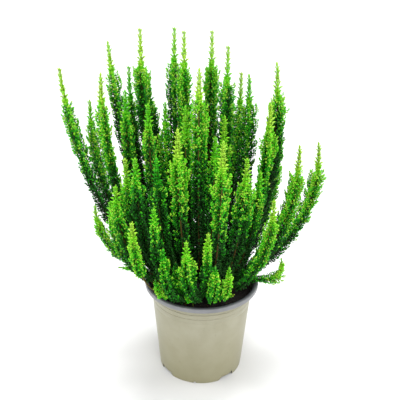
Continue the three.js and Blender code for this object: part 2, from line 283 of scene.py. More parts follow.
# %% Pot profile
FOOT_SHARE = 0.75
DISC_SHARE = 0.55
WALL_TOP_SHARE = 0.8983
LIP_DEPTH = 4.7 * MM
foot_radius = rim_radius * FOOT_SHARE
disc_radius = rim_radius * DISC_SHARE
channel_height = 4.4 * MM
wall = 1.0 * MM
lip_under = pot_height - LIP_DEPTH
taper = (rim_radius * WALL_TOP_SHARE - foot_radius) / pot_height


def wall_radius(height):
    """The outside of the tapered wall at a height."""
    return foot_radius + taper * height


def groove(height, depth):
    """A faint moulded groove round the wall: in a little, and back out."""
    half = 0.45 * MM
    return [
        (wall_radius(height - half), height - half),
        (wall_radius(height) - depth, height),
        (wall_radius(height + half), height + half),
    ]


STEP_HEIGHT = 90 * MM
STEP = 0.8 * MM
outside = [
    (disc_radius, 0.0),
    (disc_radius + 1 * MM, channel_height),
    (foot_radius - wall, channel_height),
    (foot_radius - wall, 0.0),
    (foot_radius, 0.0),
    (wall_radius(6 * MM), 6 * MM),
    *groove(78.5 * MM, 0.16 * MM),
    *groove(84 * MM, 0.5 * MM),
    *groove(STEP_HEIGHT - 0.5 * MM, 0.5 * MM),
    (wall_radius(STEP_HEIGHT) + STEP, STEP_HEIGHT + STEP),
    (wall_radius(lip_under) + STEP, lip_under),
]
lip = [
    (rim_radius - 1.2 * MM, lip_under),
    (rim_radius - 0.3 * MM, lip_under + 0.3 * MM),
    (rim_radius, lip_under + 1.0 * MM),
    (rim_radius, pot_height - 1.2 * MM),
    (rim_radius - 0.35 * MM, pot_height - 0.35 * MM),
    (rim_radius - 1.2 * MM, pot_height),
    (rim_radius - 3.6 * MM, pot_height),
    (rim_radius - 4.6 * MM, pot_height - 0.6 * MM),
]
inside = [
    (wall_radius(lip_under) + STEP - wall, lip_under - 1 * MM),
    (wall_radius(STEP_HEIGHT) - wall, STEP_HEIGHT),
    (wall_radius(channel_height) - wall, channel_height + 1.1 * MM),
    (disc_radius, channel_height + 1.1 * MM),
    (disc_radius - 1 * MM, 1.1 * MM),
]
pot_profile = outside + lip + inside
print("the pot's profile has", len(pot_profile), "rings")

# %% Pot body
POT_SIDES = 144
pot = lathed("nursery_pot", POT_SIDES, pot_profile)
print("pot body:", len(pot.data.polygons), "faces")

# %% [markdown]
# The foot is cut away by four arches, with narrow slots between them, and eight round holes let the water
# out of the raised ring inside the foot. Cutters are primitives shaped in edit mode, and a Boolean modifier
# that is applied takes them out of the pot, just as a punch takes them out of the warm sheet.

# %% Pot foot
ARCHES = 4
ARCH_TURN = math.radians(38)
ARCH_WIDTH = 20 * MM
ARCH_TOP_WIDTH = 12 * MM
ARCH_HEIGHT = 3.6 * MM
BELOW = 1 * MM
SLOT_WIDTH = 2.6 * MM
SHORT_SLOT, LONG_SLOT = 1.4 * MM, 4.8 * MM
SLOT_TURN = math.radians(35)


def cut_from_pot(cutter):
    """Takes the cutter's shape out of the pot."""
    punch = pot.modifiers.new("punch", "BOOLEAN")
    punch.object = cutter
    punch.operation = "DIFFERENCE"
    punch.solver = "EXACT"
    select_only(pot)
    bpy.ops.object.modifier_apply(modifier=punch.name)
    bpy.data.objects.remove(cutter, do_unlink=True)


def block_cutter(turn, place, size, top_share=1.0):
    """A block set across the wall and turned round the pot, with its top narrowed to a share of its width."""
    deselect()
    bpy.ops.mesh.primitive_cube_add(size=1, location=place)
    bpy.context.object.scale = size
    cutter = placed("cutter")
    select_by(cutter, "FACE", lambda at, facing: facing[:, 2] > 0.9)
    bpy.ops.transform.resize(value=(top_share, 1, 1), center_override=(0, 0, 0))
    bpy.ops.mesh.select_all(action="DESELECT")
    bpy.ops.object.mode_set(mode="OBJECT")
    cutter.rotation_euler.z = turn
    bpy.ops.object.transform_apply(location=False, rotation=True, scale=False)
    return cutter


def cut_arch(turn):
    """Cuts an arch, which is a wedge out of the foot of the wall."""
    place = (0, -foot_radius + 1 * MM, (ARCH_HEIGHT - BELOW) / 2)
    size = (ARCH_WIDTH, 9 * MM, ARCH_HEIGHT + BELOW)
    cut_from_pot(block_cutter(turn, place, size, ARCH_TOP_WIDTH / ARCH_WIDTH))


def cut_slot(turn, height):
    """Cuts a narrow upright slot through the wall, open at the foot."""
    cut_from_pot(block_cutter(turn, (0, -foot_radius, 0), (SLOT_WIDTH, 4 * MM, 2 * height)))


for i in range(ARCHES):
    cut_arch(ARCH_TURN + i * math.tau / ARCHES)
lobe = ARCH_TURN - math.pi / ARCHES
for i in range(ARCHES):
    cut_slot(lobe + i * math.tau / ARCHES, SHORT_SLOT)
for side in (lobe + math.pi / 2, lobe - math.pi / 2):
    for turn in (side - SLOT_TURN, side + SLOT_TURN):
        cut_slot(turn, LONG_SLOT)

# %% Drain holes
DRAIN_HOLES = 8
DRAIN_RADIUS = 3 * MM
drain_ring = (disc_radius + foot_radius) / 2
for i in range(DRAIN_HOLES):
    angle = (i + 0.5) * math.tau / DRAIN_HOLES
    deselect()
    bpy.ops.mesh.primitive_cylinder_add(
        vertices=24,
        radius=DRAIN_RADIUS,
        depth=2 * DRAIN_RADIUS,
        location=(drain_ring * math.cos(angle), drain_ring * math.sin(angle), channel_height),
    )
    cut_from_pot(bpy.context.object)
print("pot with its foot cut:", len(pot.data.polygons), "faces")

# %% [markdown]
# ### The pot's finish
# The sheet is drawn from two layers of polypropylene: a taupe one outside and a black one inside, which
# shows grey at the turned edge of the lip. That grey, lighter towards the lip's outer edge, is partly a
# painted highlight. The black is also put under the foot, where it is painted shade. Drawn sheet is
# satin, not glossy. It has clouds of two shades, a fine grain, faint upright draw lines and a few specks
# of peat dust. A noise pattern repeats about once in 1 / scale metres, so each scale below comes from the
# size that is said beside it. The wall is painted darker and warmer towards its foot, as shade, and the lip
# darker towards its inner edge, and both read the place on the piece in Object coordinates.

# %% Pot materials
CLOUD_SCALE = 60  # clouds 17 mm across
SPECK_SCALE = 420  # specks in cells of 2.4 mm, and only where the noise peaks
GRAIN_SCALE = 1800  # grain of half a millimetre, the finest that shows
DRAW_SCALES = (900, 900, 25)  # lines a millimetre wide and 40 mm long
POLYPROPYLENE_IOR = 1.49


def plastic(name, colours, roughness, speck_colour=None, tint=None):
    """Drawn polypropylene sheet: two shades clouded together, fine grain, and dust specks if asked for.
    tint is (what it goes by, where it is full, where it ends, its colour), by "height" or by "radius"."""
    material = new_material(name)
    place = add_node(material, "TexCoord").outputs["Object"]
    cloud = add_node(material, "TexNoise", {"Vector": place, "Scale": CLOUD_SCALE, "Detail": 4})
    shade = add_node(material, "ValToRGB", {"Fac": cloud})
    set_ramp(shade, [(0.3, colours[0]), (0.7, colours[1])])
    colour = shade
    if speck_colour:
        specks = add_node(material, "TexNoise", {"Vector": place, "Scale": SPECK_SCALE, "Detail": 2})
        peaks = {"Value": specks, "From Min": 0.70, "From Max": 0.76, "To Max": 0.45}
        dust = add_node(material, "MapRange", peaks)
        dusted = add_node(material, "Mix", {0: dust, 6: colour, 7: linear(speck_colour)}, data_type="RGBA")
        colour = dusted.outputs[2]
    if tint:
        measure, full_at, none_at, tint_colour = tint
        if measure == "height":
            distance = add_node(material, "SeparateXYZ", {"Vector": place}).outputs["Z"]
        else:
            across = add_node(material, "VectorMath", {0: place, 1: (1, 1, 0)}, operation="MULTIPLY")
            distance = add_node(material, "VectorMath", {0: across}, operation="LENGTH").outputs["Value"]
        fade = {"Value": distance, "From Min": full_at, "From Max": none_at, "To Min": 1.0, "To Max": 0.0}
        amount = add_node(material, "MapRange", fade)
        tinted = add_node(material, "Mix", {0: amount, 6: colour, 7: linear(tint_colour)}, data_type="RGBA")
        colour = tinted.outputs[2]
    drawn = add_node(material, "Mapping", {"Vector": place, "Scale": DRAW_SCALES})
    lines = add_node(material, "TexNoise", {"Vector": drawn, "Scale": 1, "Detail": 2})
    grain = add_node(material, "TexNoise", {"Vector": place, "Scale": GRAIN_SCALE, "Detail": 3})
    relief = add_node(material, "Math", {0: lines, 1: grain}, operation="ADD")
    bump = add_node(material, "Bump", {"Height": relief, "Strength": 0.25, "Distance": 0.1 * MM})
    satin = {"Value": cloud, "To Min": roughness - 0.06, "To Max": roughness + 0.08}
    gloss = add_node(material, "MapRange", satin)
    inputs = {"Base Color": colour, "Roughness": gloss, "Normal": bump, "IOR": POLYPROPYLENE_IOR}
    return finished(material, inputs)


# The painted shade, darker and warmer, grows from 70 mm up towards the foot, and the dark tone from
# the lip's edge inwards.
SHADED_FOOT = ("height", -70 * MM, 70 * MM, "#868057")
DARK_INSIDE = ("radius", rim_radius - 4 * MM, rim_radius - 0.4 * MM, "#34363F")
taupe_polypropylene = plastic("taupe_polypropylene", ("#918E77", "#9B9883"), 0.36, "#6F6A58", SHADED_FOOT)
# The lip's grey is partly the black layer showing through and partly a painted highlight.
grey_polypropylene_and_highlight = plastic("grey_lip_and_painted_highlight", ("#747579", "#838486"), 0.36, tint=DARK_INSIDE)
black_polypropylene_and_painted_shade = plastic("black_lining_and_painted_shade", ("#15151A", "#202027"), 0.45)
wear(pot, taupe_polypropylene, grey_polypropylene_and_highlight, black_polypropylene_and_painted_shade)
print("pot finishes:", [material.name for material in pot.data.materials])

# %% Pot colours by place
def radius_of(points):
    """How far points are from the pot's axis."""
    return np.hypot(points[:, 0], points[:, 1])


def on_the_lip(at, facing):
    """Whether a face is on the turned-out lip."""
    return (at[:, 2] > lip_under + 0.05 * MM) & (radius_of(at) > rim_radius - 4.2 * MM)


def black_layer_and_painted_shade(at, facing):
    """Whether a face is black: the black layer inside the wall and on the floor, and under the foot, where
    the black is painted shade.
    """
    under_the_lip = at[:, 2] <= lip_under
    behind_the_wall = radius_of(at) < wall_radius(at[:, 2]) - 0.6 * wall
    above_the_floor = at[:, 2] > channel_height + 0.5 * MM
    inner_edge = radius_of(at) < rim_radius - 4.0 * MM
    # The underside of the foot is the outside of the sheet, and it is painted black as shade.
    painted_shade_under_foot = (radius_of(at) < foot_radius - 0.6 * wall) & (at[:, 2] < channel_height + 0.5 * MM)
    return np.where(under_the_lip, (behind_the_wall & above_the_floor) | painted_shade_under_foot, inner_edge)


for slot, where in ((1, on_the_lip), (2, black_layer_and_painted_shade)):
    select_by(pot, "FACE", where)
    pot.active_material_index = slot
    bpy.ops.object.material_slot_assign()
    bpy.ops.mesh.select_all(action="DESELECT")
    bpy.ops.object.mode_set(mode="OBJECT")
bpy.ops.object.shade_smooth_by_angle(angle=math.radians(32))
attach(pot, "root")
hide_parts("pot")
print("pot done:", len(pot.data.polygons), "faces,", len(pot.data.materials), "finishes")

# %% [markdown]
# ## The peat
# The peat fills the pot to a finger's breadth under the rim. From above it is nearly black, with crumbs a
# millimetre or two across and a few brown fibres of root and moss. Its top could be a displaced grid. Rings
# drawn inwards were chosen, because they follow the round wall and close in the middle without a seam. The
# crumbs are one squashed ball, modelled once and copied.

# %% Peat body
SOIL_TOP = 92 * MM
SOIL_DOME = 2.5 * MM
SOIL_DEPTH = 30 * MM
SOIL_GAP = 0.35 * MM
LUMP_SIZE, SMALL_LUMP_SIZE = 9 * MM, 3.2 * MM
LUMP_HEIGHT = 0.9 * MM
soil_radius = wall_radius(SOIL_TOP) - wall - SOIL_GAP


def soil_height(x, y):
    """The height of the peat at a place: a low dome with lumps that die out towards the wall."""
    share = np.hypot(x, y) / soil_radius
    place = Vector((x, y, 0))
    lumps = noise.noise(place / LUMP_SIZE) + 0.5 * noise.noise(place / SMALL_LUMP_SIZE)
    return SOIL_TOP + SOIL_DOME * (1 - share**2) + LUMP_HEIGHT * lumps * min(1, 1.1 - share**6)


SOIL_SIDES = 120
SOIL_RINGS = 40
foot_of_soil = wall_radius(SOIL_TOP - SOIL_DEPTH) - wall - SOIL_GAP
soil_profile = [(foot_of_soil, SOIL_TOP - SOIL_DEPTH), (soil_radius, SOIL_TOP)]
soil_profile += [(soil_radius * (1 - i / SOIL_RINGS), SOIL_TOP) for i in range(1, SOIL_RINGS)]
soil = lathed("peat_body", SOIL_SIDES, soil_profile)
for vertex in soil.data.vertices:
    if vertex.co.z > SOIL_TOP - 1 * MM:
        vertex.co.z = soil_height(vertex.co.x, vertex.co.y)
print("peat body:", len(soil.data.polygons), "faces")

# %% [markdown]
# Crumbs and fibres lie all over the peat. A crumb starts as a ball of twenty faces that is flattened and
# shaken out of shape in edit mode, and a fibre as a thin three-sided rod. Nine hundred copies would be slow
# to add one by one, so one function reads a finished pattern as arrays and writes all its copies into one
# mesh.

# %% Patterns and their copies
def read_pattern(thing):
    """The corners and triangles of a finished pattern, which is then removed from the scene."""
    select_only(thing)
    bpy.ops.object.mode_set(mode="EDIT")
    bpy.ops.mesh.select_all(action="SELECT")
    bpy.ops.mesh.quads_convert_to_tris()
    bpy.ops.object.mode_set(mode="OBJECT")
    corners = numbers(thing.data.vertices, "co", 3)
    triangles = numbers(thing.data.loops, "vertex_index", kind=np.int32).reshape(-1, 3)
    bpy.data.objects.remove(thing, do_unlink=True)
    return corners, triangles


def build_piece(name, corners, triangles, materials, finish=None, smooth=None, values=(), uv=None):
    """A mesh object from arrays. finish and smooth are per triangle, values and uv per corner."""
    mesh = bpy.data.meshes.new(name)
    mesh.vertices.add(len(corners))
    mesh.vertices.foreach_set("co", corners.astype(np.float32).ravel())
    mesh.loops.add(3 * len(triangles))
    mesh.loops.foreach_set("vertex_index", triangles.astype(np.int32).ravel())
    mesh.polygons.add(len(triangles))
    mesh.polygons.foreach_set("loop_start", np.arange(0, 3 * len(triangles), 3, dtype=np.int32))
    for material in materials:
        mesh.materials.append(material)
    mesh.update(calc_edges=True)
    if finish is not None:
        mesh.polygons.foreach_set("material_index", finish.astype(np.int32))
    mesh.polygons.foreach_set("use_smooth", np.zeros(len(triangles), bool) if smooth is None else smooth)
    for key, value in dict(values).items():
        mesh.attributes.new(key, "FLOAT", "POINT").data.foreach_set("value", value.astype(np.float32))
    if uv is not None:
        layer = mesh.uv_layers.new(name="OFBake")
        layer.uv.foreach_set("vector", uv[triangles.ravel()].astype(np.float32).ravel())
    piece = bpy.data.objects.new(name, mesh)
    bpy.context.scene.collection.objects.link(piece)
    return piece


def turned_copies(pattern, places, turns, sizes):
    """Copies of a pattern, each with its place, its 3x3 turn and its size."""
    corners, triangles = pattern
    moved = np.einsum("nij,vj->nvi", turns, corners) * sizes[:, None, None] + places[:, None, :]
    steps = len(corners) * np.arange(len(places))[:, None, None]
    return moved.reshape(-1, 3), (triangles[None] + steps).reshape(-1, 3)


def random_turns(draw, count, tilt):
    """Turns round Z by any angle, after a tilt of up to the given angle."""
    turns = []
    for spin, lean in zip(draw.uniform(0, math.tau, count), draw.uniform(-tilt, tilt, count)):
        turns.append(np.array(Matrix.Rotation(spin, 3, "Z") @ Matrix.Rotation(lean, 3, "X")))
    return np.array(turns)


# %% Crumbs and fibres
def model_crumb(seed):
    """A flattened, uneven ball of twenty faces, one unit across."""
    deselect()
    bpy.ops.mesh.primitive_ico_sphere_add(subdivisions=1, radius=0.5)
    crumb = bpy.context.object
    bpy.ops.object.mode_set(mode="EDIT")
    bpy.ops.mesh.select_all(action="SELECT")
    bpy.ops.transform.resize(value=(1, 0.8, 0.62), center_override=(0, 0, 0))
    bpy.ops.transform.vertex_random(offset=0.12, seed=seed)
    bpy.ops.object.mode_set(mode="OBJECT")
    return read_pattern(crumb)


def model_fibre():
    """A thin rod that tapers to both ends, one unit long and lying down."""
    fibre = lathed("fibre", 3, [(0.012, -0.5), (0.035, -0.1), (0.03, 0.2), (0.01, 0.5)])
    bpy.ops.object.mode_set(mode="EDIT")
    bpy.ops.mesh.select_all(action="SELECT")
    bpy.ops.transform.rotate(value=math.pi / 2, orient_axis="Y", center_override=(0, 0, 0))
    bpy.ops.object.mode_set(mode="OBJECT")
    return read_pattern(fibre)


def spread_over_peat(draw, count):
    """Random places on top of the peat, even over its area."""
    reach = (soil_radius - 1.2 * MM) * np.sqrt(draw.uniform(0, 1, count))
    angle = draw.uniform(0, math.tau, count)
    x, y = reach * np.cos(angle), reach * np.sin(angle)
    z = np.array([soil_height(a, b) for a, b in zip(x, y)])
    return np.column_stack([x, y, z])


# %% [markdown]
# ### The peat's finish
# Moist peat is matt and nearly black, because its fibres trap the light. Crumbs that have dried are
# browner, and a fibre on top of the peat dries first, so the same finish in lighter browns serves for the
# fibres.

# %% Peat material
CRUMB_SCALE = 520  # crumbs two millimetres across
FIBRE_SCALE = 1400  # relief of 0.7 mm


def peat(name, dark, middle, light):
    """Peat: dark crumbs a millimetre or two across, some dried to brown, all matt."""
    material = new_material(name)
    place = add_node(material, "TexCoord").outputs["Object"]
    crumbs = add_node(material, "TexNoise", {"Vector": place, "Scale": CRUMB_SCALE, "Detail": 5})
    shade = add_node(material, "ValToRGB", {"Fac": crumbs})
    set_ramp(shade, [(0.38, dark), (0.58, middle), (0.78, light)])
    grain = add_node(material, "TexNoise", {"Vector": place, "Scale": FIBRE_SCALE, "Detail": 3})
    bump = add_node(material, "Bump", {"Height": grain, "Strength": 0.7, "Distance": 0.5 * MM})
    return finished(material, {"Base Color": shade, "Roughness": 0.95, "Normal": bump})


moist_peat = peat("moist_peat", "#0B0908", "#1A1310", "#33251A")
dry_fibre = peat("dry_peat_fibre", "#2A1C12", "#4A3322", "#7A5A3C")
wear(soil, moist_peat)
print("peat finishes:", moist_peat.name, "and", dry_fibre.name)

# %% Peat surface
CRUMBS = 900
FIBRES = 150
draw = np.random.default_rng(11)
parts = []
for seed in (1, 2, 3):
    count = CRUMBS // 3
    places = spread_over_peat(draw, count)
    turns = random_turns(draw, count, math.pi)
    corners, triangles = turned_copies(model_crumb(seed), places, turns, draw.uniform(0.8, 3.0, count) * MM)
    parts.append(build_piece("crumbs", corners, triangles, [moist_peat]))
places = spread_over_peat(draw, FIBRES) + [0, 0, 0.5 * MM]
turns = random_turns(draw, FIBRES, 0.3)
corners, triangles = turned_copies(model_fibre(), places, turns, draw.uniform(4, 11, FIBRES) * MM)
parts.append(build_piece("fibres", corners, triangles, [dry_fibre]))
join(soil, parts)
soil.name = "peat"
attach(soil, "root")
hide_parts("soil")
print("peat done:", len(soil.data.polygons), "faces")

# %% [markdown]
# ## The leaf and the side shoot
# A heather leaf is a keeled scale two or three millimetres long. The leaves stand in pairs, each pair
# turned a quarter from the one below, and they close to a point at the end of the shoot. Modelled as a
# curved sheet, a leaf would need dozens of faces, and the plant carries more than a hundred thousand of
# them. So a leaf is a three-sided cone, flattened so that two faces form the keel, and its two side corners
# are then slid up to where the leaf is widest. That makes a diamond with four faces in all.

# %% Leaf
LEAF_LENGTH = 3.2 * MM
LEAF_WIDTH = 2.1 * MM
LEAF_KEEL = 1.5 * MM
LEAF_WIDEST = 0.42


def model_leaf():
    """A keeled leaf from the origin up along Z, with its keel towards +X and its widest part half way up."""
    deselect()
    bpy.ops.mesh.primitive_cone_add(
        vertices=3,
        radius1=LEAF_WIDTH / math.sqrt(3),
        depth=LEAF_LENGTH,
        location=(0, 0, LEAF_LENGTH / 2),
        rotation=(0, 0, -math.pi / 2),
    )
    leaf = placed("leaf")
    depth = LEAF_WIDTH * math.sqrt(3) / 2
    bpy.ops.object.mode_set(mode="EDIT")
    bpy.ops.mesh.select_all(action="SELECT")
    bpy.ops.transform.resize(value=(LEAF_KEEL / depth, 1, 1), center_override=(0, 0, 0))
    bpy.ops.object.mode_set(mode="OBJECT")
    select_by(leaf, "VERT", lambda at, facing: abs(at[:, 1]) > 0.1 * LEAF_WIDTH)
    bpy.ops.transform.translate(value=(0, 0, LEAF_WIDEST * LEAF_LENGTH))
    bpy.ops.mesh.select_all(action="DESELECT")
    bpy.ops.object.mode_set(mode="OBJECT")
    return leaf


def set_values(thing, name, values):
    """Gives each corner of a mesh a named number."""
    thing.data.attributes.new(name, "FLOAT", "POINT").data.foreach_set("value", values)


leaf = model_leaf()
leaf_corners = numbers(leaf.data.vertices, "co", 3)
set_values(leaf, "reach", leaf_corners[:, 2] / LEAF_LENGTH)
print("leaf corners in mm:", (leaf_corners / MM).round(2).tolist())

# %% [markdown]
# A side shoot is a thin twig with such pairs of leaves, which lean out less and get smaller towards its
# end. It could be an array along a curve, but each leaf is then like the next. Every leaf is placed by
# itself here, with a little chance in its turn, lean and size. Eight lengths in two kinds are enough for
# the whole plant. The slim tip of a stem is made in the same way, from larger leaves set closer, which
# swell and shrink a little in whorls.

# %% Side shoots and tips
LEAF_PITCH = 1.65 * MM
LEAF_OFF_AXIS = 0.1 * MM
LAST_PAIR_BELOW = 1.6 * MM
CLOSING_LENGTH = 6 * MM
TWIG_RADIUS = 0.6 * MM
WHORL_PITCH = 3.6 * MM


def leaf_place(height, spin, lean, size):
    """The matrix that sets a leaf on a shoot: at a height, spun round the shoot and leaning out from it."""
    return (
        Matrix.Translation((0, 0, height))
        @ Matrix.Rotation(spin, 4, "Z")
        @ Matrix.Translation((LEAF_OFF_AXIS, 0, 0))
        @ Matrix.Rotation(lean, 4, "Y")
        @ Matrix.Scale(size, 4)
    )


def model_shoot(length, seed, bare, leans, sizes, pitch=LEAF_PITCH, radius=TWIG_RADIUS, tufts=0.0):
    """A shoot along Z with pairs of leaves above its bare share. leans and sizes are for the first and the
    last pair, and tufts says how much the leaves swell in whorls. Returns its corners, its triangles, and
    each corner's leaf number (0 on the twig) and how far along its leaf it is."""
    draw = np.random.default_rng(seed)
    deselect()
    bpy.ops.mesh.primitive_cone_add(vertices=3, radius1=radius, depth=length, location=(0, 0, length / 2))
    twig = placed("twig")
    set_values(twig, "leaf", [0.0] * len(twig.data.vertices))
    set_values(twig, "reach", [0.0] * len(twig.data.vertices))
    copies = []
    first = bare * length
    pairs = max(3, round((length - first) / pitch))
    for pair in range(pairs):
        share = pair / (pairs - 1)
        height = first + (length - LAST_PAIR_BELOW - first) * share
        wave = math.cos(math.tau * height / WHORL_PITCH)
        lean = math.radians(leans[0] + (leans[1] - leans[0]) * share) * (1 + 0.5 * tufts * wave)
        lean *= min(1, 0.25 + (length - height) / CLOSING_LENGTH)
        tuft = 1 + tufts * wave
        for side in (0, math.pi):
            copy = leaf.copy()
            copy.data = leaf.data.copy()
            bpy.context.scene.collection.objects.link(copy)
            spin = pair * math.pi / 2 + side + draw.uniform(-0.25, 0.25)
            size = (sizes[0] + (sizes[1] - sizes[0]) * share) * tuft * draw.uniform(0.85, 1.15)
            copy.data.transform(leaf_place(height, spin, lean * draw.uniform(0.85, 1.15), size))
            copies.append(copy)
            set_values(copy, "leaf", [float(len(copies))] * len(copy.data.vertices))
    join(twig, copies)
    leaf_number = numbers(twig.data.attributes["leaf"].data, "value")
    reach = numbers(twig.data.attributes["reach"].data, "value")
    return *read_pattern(twig), leaf_number.round().astype(int), reach


SHOOT_LENGTHS = np.array([4, 5.5, 7, 8.5, 10, 11.5, 13, 15]) * MM
SHOOT_KINDS = 2
SHOOT_BARE = 0.24
SHOOT_LEANS, SHOOT_SIZES = (68, 32), (1.1, 0.8)
shoots = []
for i, length in enumerate(SHOOT_LENGTHS):
    seeds = [10 * i + k for k in range(SHOOT_KINDS)]
    shoots.append([model_shoot(length, seed, SHOOT_BARE, SHOOT_LEANS, SHOOT_SIZES) for seed in seeds])
print("side shoots:", [len(kinds[0][1]) for kinds in shoots], "faces each")

TIP_PITCH, TIP_RADIUS, TIP_TUFTS = 1.05 * MM, 1.0 * MM, 0.3
TIP_LEANS, TIP_SIZES = (56, 45), (1.46, 0.95)
TIP_LENGTHS = np.array([9, 12, 16, 20, 25, 30, 35]) * MM
tips = []
for seed, length in enumerate(TIP_LENGTHS, 200):
    tips.append(model_shoot(length, seed, 0.0, TIP_LEANS, TIP_SIZES, TIP_PITCH, TIP_RADIUS, TIP_TUFTS))
print("slim tips:", [len(tip[1]) for tip in tips], "faces each")
bpy.data.objects.remove(leaf, do_unlink=True)

# %% [markdown]
# ## The cane
# The cane is the woody middle of a leafy stem, and it shows brown where the side shoots leave a gap. It is
# drawn once as a straight rod, one unit long, by extruding a ring of six edges, and each stem bends its own
# copy along its own line.

# %% Cane
CANE_STEPS = 30
cane = lathed("cane", 6, [(1.0, i / CANE_STEPS) for i in range(CANE_STEPS + 1)])
cane_pattern = read_pattern(cane)
print("cane:", len(cane_pattern[1]), "faces")

# %% [markdown]
# ## The line and the width of each stem
# Each leafy stem of the frame is a stack of rings of six corners: three tips of side shoots, and three
# hollows between them. Walking over its edges from the top corner down meets one ring after another. The
# middles of the rings give the stem's line, and the tips give how far the foliage reaches at each height,
# so that the fine foliage keeps the form of the solid that it stands for.

# %% Stem lines
FINE_STEP = 1 * MM
LINE_SPREAD, REACH_SPREAD = 5, 3
FRONT = np.array([0.0, -1.0, 0.0])


def rings_of(name):
    """The corners of a stem's solid, ring by ring from its top down."""
    corners = numbers(frame["nodes"][name].data.vertices, "co", 3)
    triangles = numbers(frame["nodes"][name].data.loops, "vertex_index", kind=np.int32).reshape(-1, 3)
    corners, same = np.unique(corners.round(6), axis=0, return_inverse=True)
    triangles = same.ravel()[triangles]
    around = [set() for _ in corners]
    for a, b, c in triangles:
        around[a].update((b, c))
        around[b].update((a, c))
        around[c].update((a, b))
    foot = corners[corners[:, 2] < corners[:, 2].min() + 0.5 * MM].mean(0)
    climb = corners[:, 2] + np.hypot(*(corners - foot)[:, :2].T)
    ring = {int(np.argmax(climb))}
    seen = set(ring)
    rings = []
    while ring:
        rings.append(corners[sorted(ring)])
        ring = set().union(*(around[i] for i in ring)) - seen
        seen |= ring
    return rings


def smoothed(values, spread):
    """The rows, run through a soft window. The ends stay where they are."""
    reach = int(3 * spread)
    window = np.exp(-0.5 * (np.arange(-reach, reach + 1) / spread) ** 2)
    window /= window.sum()
    before = 2 * values[:1] - values[reach:0:-1]
    after = 2 * values[-1:] - values[-2 : -reach - 2 : -1]
    padded = np.concatenate([before, values, after])
    return np.array([np.convolve(column, window, mode="valid") for column in padded.T]).T


class StemLine:
    """A stem's middle line from the foot up, in even steps, with the reach of its foliage along it."""

    def __init__(self, name):
        rings = rings_of(name)
        middles = np.array([ring.mean(0) for ring in rings])[::-1]
        along = np.concatenate([[0], np.cumsum(np.linalg.norm(np.diff(middles, axis=0), axis=1))])
        steps = np.arange(0, along[-1], FINE_STEP)
        line = np.column_stack([np.interp(steps, along, column) for column in middles.T])
        self.points = smoothed(line, LINE_SPREAD)
        lengths = np.linalg.norm(np.diff(self.points, axis=0), axis=1)
        self.along = np.concatenate([[0], np.cumsum(lengths)])
        self.length = self.along[-1]
        self.tangents = np.gradient(self.points, self.along, axis=0)
        self.tangents /= np.linalg.norm(self.tangents, axis=1)[:, None]
        spots = []
        for ring in rings:
            away = np.linalg.norm(ring[:, None] - self.points[None], axis=2)
            nearest = away.argmin(1)
            far = away[np.arange(len(ring)), nearest].argmax()
            spots.append((self.along[nearest[far]], away[far, nearest[far]]))
        spots = np.array(sorted(spots))
        reach = np.interp(self.along, spots[:, 0], spots[:, 1])
        self.reach = smoothed(reach[:, None], REACH_SPREAD)[:, 0]

    def at(self, along, what):
        """The line's points, tangents, reach or shade at distances along it."""
        values = getattr(self, what)
        if values.ndim == 1:
            return np.interp(along, self.along, values)
        return np.column_stack([np.interp(along, self.along, column) for column in values.T])

    def frames(self, along):
        """Points, tangents, and the two directions across the stem: towards the front, and beside that."""
        tangent = self.at(along, "tangents")
        tangent /= np.linalg.norm(tangent, axis=1)[:, None]
        front = FRONT - tangent * (tangent @ FRONT)[:, None]
        front /= np.linalg.norm(front, axis=1)[:, None]
        return self.at(along, "points"), tangent, front, np.cross(tangent, front)


stem_names = sorted(name for name in frame["nodes"] if name.startswith("leafy_stem_"))
lines = {name: StemLine(name) for name in stem_names}
print(len(lines), "stems,", round(sum(line.length for line in lines.values()), 2), "m of stem in all")

# %% [markdown]
# ## The shade inside the plant
# Leaves that get little light are dark, and a stem gets little where others stand close on all sides of it.
# That could be left to the lamps alone, but the foliage is also painted darker there: painted shade, on top
# of the darker green that real leaves in the shade have. So every fourth point of each stem counts the
# points of stems within 32 mm. Neighbours on one side only leave the other side open, and the pull of their
# directions is taken off the count.

# %% Shade
CROWD_REACH = 32 * MM
CROWD_STEP = 4
OPEN_COUNT, CROWDED_COUNT = 14, 75


def measure_shade(lines):
    """Gives each line its shade: 0 where it stands free, 1 where it is closed in by its neighbours."""
    samples = np.concatenate([line.points[::CROWD_STEP] for line in lines])
    for line in lines:
        offset = samples[None] - line.points[::CROWD_STEP][:, None]
        away = np.linalg.norm(offset, axis=2)
        near = (away < CROWD_REACH) & (away > 1 * MM)
        pull = (offset[..., :2] / (away[..., None] + 1 * MM) * near[..., None]).sum(1)
        count = near.sum(1) - np.linalg.norm(pull, axis=1)
        shade = (count - OPEN_COUNT) / (CROWDED_COUNT - OPEN_COUNT)
        line.shade = np.interp(line.along, line.along[::CROWD_STEP], shade.clip(0, 1))


measure_shade(list(lines.values()))
print("mean shade of the stems:", round(float(np.mean([line.shade.mean() for line in lines.values()])), 2))

# %% [markdown]
# ## The foliage's finish
# A heather leaf is thick and waxy, so it is satin, with small glints. The youngest leaves, in the slim
# tips, are yellow-green, because they hold little chlorophyll yet, and the old ones deep in the plant are
# dark green. Each leaf carries its age, 0 for the darkest and 1 for the youngest, with painted shade taken
# off it and painted light and glints added, and how far along it each corner is. The material reads both: a
# ramp from dark to lime by that number, painted darker at the foot of the leaf as shade, where it is tucked
# under others, and painted lighter towards its point as light, and paler there. Bark has no reach, so all of
# it takes the foot's painted shade, and it turns from green at the tip to brown low down.

# %% Foliage materials
PALE_SHARE = 0.1
# Painted shade at a leaf's foot and painted light at its point; bark has no reach and takes the foot's shade.
FOOT_LIGHT, POINT_LIGHT = 0.2, 1.55
WAX_IOR = 1.45
WAX_SPECULAR = 0.24


